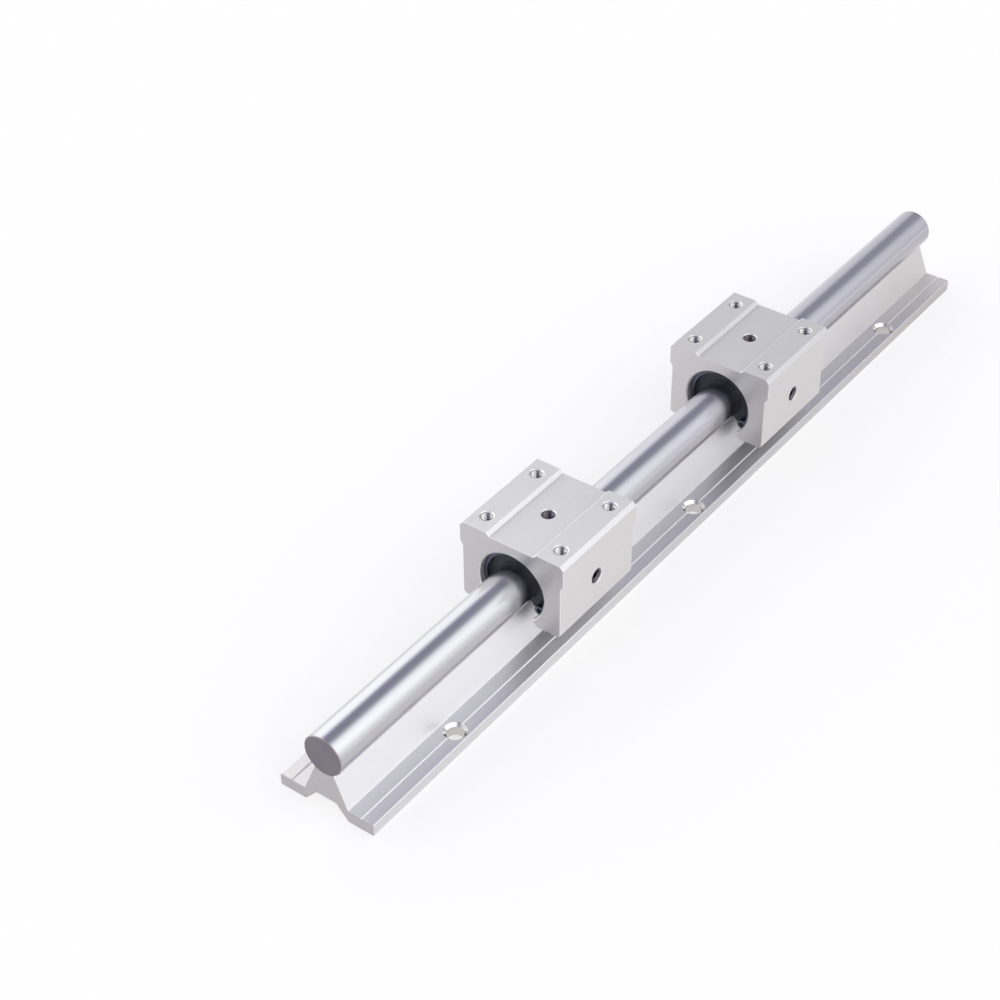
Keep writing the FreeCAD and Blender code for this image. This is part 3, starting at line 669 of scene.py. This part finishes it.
def block_finish():
    """Etched and anodised aluminium: milled ends in painted shade, bright bevels and a few faint
    scuffs.
    """
    finish, tree, shader, place = new_finish("anodised_aluminium")
    grain = stretched_noise(tree, place, BLOCK_GRAIN_PER_METRE, detail=FINE_DETAIL)
    lines = stretched_noise(tree, place, BLOCK_LINES_PER_METRE)
    ends = facing(tree, "X")
    bevels = slanted(tree)
    colour = blend_colours(tree, bevels, block_face_colour(tree, place, lines, ends),
                           block_bevel_colour(tree, place))
    matt = spread(tree, grain, NOISE_LOW, NOISE_HIGH, *BLOCK_ROUGHNESS)
    cut = maths(tree, "MAXIMUM", maths(tree, "MULTIPLY", bevels, SMOOTHER_BEVELS),
                maths(tree, "MULTIPLY", ends, SMOOTHER_ENDS))
    relief = maths(tree, "MULTIPLY_ADD", lines, LINE_SHARE, grain)
    set_surface(tree, shader, colour, maths(tree, "SUBTRACT", matt, cut), relief, GRAIN_DEPTH)
    return finish


FINISHES["block_aluminium"] = block_finish()
print(f"blocks: {len(FINISHES['block_aluminium'].node_tree.nodes)} nodes")

# %% [markdown]
# Freshly cut aluminium
#
# Threads and countersinks are cut last and stay bright. A tool that turns about a hole's axis
# leaves its fine lines round the hole. Rings could be drawn round each hole, but all of these
# holes are upright, so level bands of noise give the same lines in every hole at once. The upright
# wall of a drilled hole is darker than the cone of its countersink, and the far side of a thread,
# which faces the near end of the rail, is darker than the rest. Both are painted shade.

# %% Finish the threads and the countersinks
CUT_METAL = ((0.74, 0.73, 0.725), (0.86, 0.85, 0.845))
# Painted shade: upright walls of drilled holes are given this darker colour.
PAINTED_SHADE_WALL = (0.40, 0.35, 0.34)
# Painted shade: the far side of each thread is given this dark colour.
PAINTED_SHADE_FAR_SIDE = (0.18, 0.17, 0.175)
FAR_SIDE_FULL = -0.75
FAR_SIDE_STARTS = -0.25
WALL_LIMIT = 0.3
TOOL_LINES_PER_METRE = (80.0, 80.0, 9000.0)
CUT_ROUGHNESS = (0.10, 0.18)
TOOL_LINE_DEPTH = 1.5e-6


def cut_finish(name, wall_shade_share, far_side_shade_share):
    """Bright aluminium with tool lines round upright holes.

    By one share its upright walls are darker, and by another the walls whose normal points
    towards -X, which are on the far side of a hole. Both darkenings are painted shade.
    """
    finish, tree, shader, place = new_finish(name)
    tool_lines = stretched_noise(tree, place, TOOL_LINES_PER_METRE)
    bright = blend_colours(tree, tool_lines, *CUT_METAL)
    # Painted shade on walls whose normal points towards -X.
    painted_far_side = spread(tree, normal_part(tree, "X", "Normal"), FAR_SIDE_FULL, FAR_SIDE_STARTS,
                      far_side_shade_share, 0.0)
    far_side_shaded = blend_colours(tree, painted_far_side, bright, PAINTED_SHADE_FAR_SIDE)
    sloping = facing(tree, "Z", WALL_LIMIT)
    wall_shaded = maths(tree, "MULTIPLY_ADD", sloping, -wall_shade_share, wall_shade_share)
    roughness = spread(tree, tool_lines, NOISE_LOW, NOISE_HIGH, *CUT_ROUGHNESS)
    set_surface(tree, shader, blend_colours(tree, wall_shaded, far_side_shaded, PAINTED_SHADE_WALL), roughness,
                tool_lines, TOOL_LINE_DEPTH)
    return finish


# Painted shade on the threads' far sides and on the drilled walls.
cut_aluminium = cut_finish("cut_aluminium", wall_shade_share=0.0, far_side_shade_share=0.6)
drilled_aluminium = cut_finish("drilled_aluminium", wall_shade_share=0.35, far_side_shade_share=0.0)
print(f"cut metal: {cut_aluminium.name}, {drilled_aluminium.name}")

# %% [markdown]
# Every CAD piece
#
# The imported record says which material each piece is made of, and each piece's slots are still
# plain. Setting the finishes piece by piece would repeat that list, so a loop looks each one up.

# %% Give each CAD piece its finish
for part in frame["record"]["subparts"]:
    piece = nodes[part["node"]]
    for material_slot in piece.material_slots:
        material_slot.material = FINISHES[part["material_slot"]]
print(f"{len(FINISHES)} finishes on {len(nodes)} CAD nodes")

# %% [markdown]
# Threads
#
# The CAD model has plain tapped holes at the thread's core size. The real ones show bright turns
# of thread under a countersunk mouth. A thread could be a spiral made with the Screw modifier;
# here it is a closed sleeve whose inner face is worked out as one sheet of points, so it hugs the
# mouth's cone as well as the straight hole, and no part of it pokes through the block.

# %% Build rings of points
def grid_faces(rows, columns):
    """Join a grid of points that closes on itself both ways into four-sided faces.

    A point's number is its row times the columns in a row, plus its column.
    """
    row, column = np.meshgrid(np.arange(rows), np.arange(columns), indexing="ij")
    next_row = (row + 1) % rows
    next_column = (column + 1) % columns
    faces = np.stack([row * columns + column, next_row * columns + column,
                      next_row * columns + next_column, row * columns + next_column], axis=-1)
    return faces.reshape(-1, 4)


def ring_points(angle, radius, height):
    """Turn radii and heights, one row for each angle, into points round the Z axis.

    A point's x is radius cos(angle), its y is radius sin(angle) and its z is the height.
    """
    turned = [radius * np.cos(angle)[:, None], radius * np.sin(angle)[:, None], height]
    return np.stack(turned, axis=-1).reshape(-1, 3)


print(f"a closed grid of 3 by 4 points has {len(grid_faces(3, 4))} faces")

# %% The surface of an internal thread
THREAD_DEPTH = 0.00034
SHALLOW_THREAD_DEPTH = 0.0002
THREAD_START = 0.0003
SLEEVE_GAP = 0.00002
FLANK_STEEPNESS = 1.7
POINTS_ROUND = 36
POINTS_PER_PITCH = 10


def thread_sleeve(core_radius, mouth_radius, pitch, length, thread_depth=THREAD_DEPTH):
    """Give the points of a thread sleeve from just below height 0 down to -length, and its faces.

    At a depth d the tapped hole's own radius is mouth - d in its 45 degree mouth, and the core's
    radius below it. The outer face keeps a small gap to that, and the inner face twice that gap
    at its roots. The inner face is one spiral: by the angle a, a clipped triangle wave of
    d / pitch - a / full turn carries it from the crests to the roots. The sheet closes on itself
    like a ring.
    """
    steps = int(round((length - THREAD_START) / pitch * POINTS_PER_PITCH))
    depth = np.linspace(THREAD_START, length, steps + 1)
    outer_depth = np.array([length, mouth_radius - core_radius, THREAD_START])
    angle = np.linspace(0.0, 2 * np.pi, POINTS_ROUND, endpoint=False)
    turns = depth[None, :] / pitch - angle[:, None] / (2 * np.pi)
    triangle = np.abs(2 * (turns - np.floor(turns)) - 1)
    root_share = np.clip(FLANK_STEEPNESS * (triangle - 0.5) + 0.5, 0.0, 1.0)
    root = np.maximum(core_radius, mouth_radius - depth) - 2 * SLEEVE_GAP
    inner = root[None, :] - thread_depth * (1.0 - root_share)
    outer = np.maximum(core_radius, mouth_radius - outer_depth) - SLEEVE_GAP
    radius = np.concatenate([inner, outer[None, :].repeat(POINTS_ROUND, axis=0)], axis=1)
    height = -np.concatenate([depth, outer_depth])[None, :].repeat(POINTS_ROUND, axis=0)
    return ring_points(angle, radius, height), grid_faces(*radius.shape)


print(f"threads have {POINTS_ROUND} points round and {POINTS_PER_PITCH} along each turn")

# %% [markdown]
# Upper threads
#
# Each block has four tapped holes for what it carries, M5 by the size of their core. Their places
# and their core's radius could be given here again, but they are in the mounts, so only the pitch,
# the mouth and the length are new.

# %% Thread the upper holes
SIDES = ("near", "far")
TOP_PITCH = 0.0008
TOP_MOUTH_RADIUS = 0.0029
TOP_THREAD_LENGTH = 0.012


def top_rings(side):
    """Give the four upper threads of a block as rings, each with its place."""
    holes = mounts[f"{side}_block_holes"]
    half_pitch = holes["dims"]["spacing_x_mm"] / 2000
    half_spacing = holes["dims"]["spacing_y_mm"] / 2000
    thread = thread_sleeve(holes["dims"]["hole_r_mm"] / 1000, TOP_MOUTH_RADIUS, TOP_PITCH,
                           TOP_THREAD_LENGTH)
    station = holes["pos_m"][0]
    pad_height = mounts[f"{side}_block_pad"]["pos_m"][2]
    return [(thread, (station + along, across, pad_height))
            for along in (-half_pitch, half_pitch) for across in (-half_spacing, half_spacing)]


upper_threads = {side: top_rings(side) for side in SIDES}
for side, rings in upper_threads.items():
    print(f"{side} block: {len(rings)} upper threads, {1000 * TOP_PITCH:.1f} mm pitch")

# %% [markdown]
# Deep threads
#
# Little light reaches into the grease hole in the middle and the set screw's hole in the side, so
# their threads share the dim finish. The side thread could be worked out round the Y axis, but
# the same upright sleeve will do, laid on its side. It ends just before the set screw. The core,
# the mouth and the channel in the pad have the sizes of the CAD model.

# %% Thread the grease hole and the side hole
CENTRE_THREAD_LENGTH = 0.0044
PAD_CHANNEL_DEPTH = 0.0014
SIDE_PITCH = 0.001
SIDE_CORE_RADIUS = 0.0025
SIDE_MOUTH_RADIUS = 0.0033
SIDE_MOUTH_ACROSS = -0.0213
SCREW_CLEARANCE = 0.00005


def deep_rings(side):
    """Give the threads of a block's grease hole and side hole as rings, each with its place.

    The side thread's axis is turned from Z to -Y: each point's x, y and z become x, -z and y.
    """
    holes = mounts[f"{side}_block_holes"]
    station = holes["pos_m"][0]
    channel_height = mounts[f"{side}_block_pad"]["pos_m"][2] - PAD_CHANNEL_DEPTH
    grease_thread = thread_sleeve(holes["dims"]["hole_r_mm"] / 1000, TOP_MOUTH_RADIUS, TOP_PITCH,
                                  CENTRE_THREAD_LENGTH)
    screw_low, screw_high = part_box(f"set_screw_{side}")
    down_to_screw = screw_low.y - SCREW_CLEARANCE - SIDE_MOUTH_ACROSS
    points, faces = thread_sleeve(SIDE_CORE_RADIUS, SIDE_MOUTH_RADIUS, SIDE_PITCH, down_to_screw,
                                  SHALLOW_THREAD_DEPTH)
    lying = np.stack([points[:, 0], -points[:, 2], points[:, 1]], axis=1)
    screw_height = (screw_low.z + screw_high.z) / 2
    return [(grease_thread, (station, 0.0, channel_height)),
            ((lying, faces), (station, SIDE_MOUTH_ACROSS, screw_height))]


inner_threads = {side: deep_rings(side) for side in SIDES}
for side, rings in inner_threads.items():
    print(f"{side} block: {len(rings)} deep threads")

# %% Put the threads into the blocks
SHARP_ANGLE = math.radians(25)


def join_rings(name, rings, finish):
    """Put several rings of points, each moved to its own place, into one mesh object."""
    points, faces, count = [], [], 0
    for (own_points, own_faces), place in rings:
        points.append(own_points + np.array(place))
        faces.append(own_faces + count)
        count += len(own_points)
    mesh = bpy.data.meshes.new(name)
    mesh.from_pydata(np.concatenate(points).tolist(), [], np.concatenate(faces).tolist())
    mesh.shade_smooth()
    mesh.set_sharp_from_angle(angle=SHARP_ANGLE)
    mesh.materials.append(finish)
    piece = bpy.data.objects.new(name, mesh)
    scene.collection.objects.link(piece)
    return piece


for side in SIDES:
    threads = join_rings(f"block_threads_{side}", upper_threads[side], cut_aluminium)
    deep_threads = join_rings(f"deep_threads_{side}", inner_threads[side], deep_thread)
    for piece in (threads, deep_threads):
        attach(piece, f"carriage_{side}")
        print(f"{piece.name}: {len(piece.data.vertices)} points")

# %% [markdown]
# Countersinks
#
# The holes through the feet are countersunk after the extrusion, right through the fine marking
# groove that runs along each foot, so they are bright where the foot is satin. A second material
# on the support could show that, but its mesh stays as CAD made it. So each hole gets a cut skin
# that hugs it: a cone, the hole's wall, and a rim that dips where the groove crosses it. The
# mounts give the holes' radius and places, and the other sizes are those of the CAD model.

# %% The skin of a countersunk hole
SKIN_GAP = 0.00009
SKIN_LIP = 0.00001
SKIN_DEPTH = 0.0002
FOOT_THICKNESS = 0.005
SINK_RADIUS = 0.0044
GROOVE_DEPTH = 0.0004
RIM_POINTS = 120
RIM_CROWDING = 0.85
hole_radius = mounts["rail_corner_holes"]["dims"]["hole_r_mm"] / 1000


def countersink_skin():
    """Give the points and faces of a thin skin in a countersunk hole, seen from the foot's top.

    The rim is at the foot's top but dips to follow a 90 degree groove along X: by the groove's
    depth less the distance from its middle line. The cone slopes at 45 degrees, so wherever the
    rim dips, the cone starts that much nearer to the axis. Points crowd to the groove's crossings
    by the angle t - crowding sin(2 t) / 2.
    """
    turn = np.linspace(0.0, 2 * np.pi, RIM_POINTS, endpoint=False)
    angle = turn - RIM_CROWDING * np.sin(2 * turn) / 2
    dip = np.clip(GROOVE_DEPTH - SINK_RADIUS * np.abs(np.sin(angle)), 0.0, None)
    top = FOOT_THICKNESS + SKIN_LIP - dip
    wall = hole_radius - SKIN_GAP
    cone_floor = FOOT_THICKNESS - (SINK_RADIUS - hole_radius)
    rim = wall + top - cone_floor
    ones = np.ones_like(angle)
    radius = np.stack([rim, wall * ones, wall * ones,
                       (wall + SKIN_DEPTH) * ones, (wall + SKIN_DEPTH) * ones, rim + SKIN_DEPTH],
                      axis=1)
    height = np.stack([top, cone_floor * ones, SKIN_LIP * ones,
                       SKIN_LIP * ones, (cone_floor - SKIN_DEPTH) * ones, top], axis=1)
    return ring_points(angle, radius, height), grid_faces(*radius.shape)


skin = countersink_skin()
print(f"{len(skin[0])} points in the skin of one hole")

# %% Line the mounting holes
rings = []
for name in ("rail_corner_holes", "rail_middle_holes"):
    dims = mounts[name]["dims"]
    half_pitch = dims.get("spacing_x_mm", 0.0) / 2000
    half_spacing = dims["spacing_y_mm"] / 2000
    # The middle holes have no pitch, and the set keeps one of their two equal stations.
    rings += [(skin, (along, across, foot_underside)) for along in sorted({-half_pitch, half_pitch})
              for across in (-half_spacing, half_spacing)]
countersinks = join_rings("mount_countersinks", rings, drilled_aluminium)
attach(countersinks, "rail")
print(f"{len(rings)} countersinks lined")
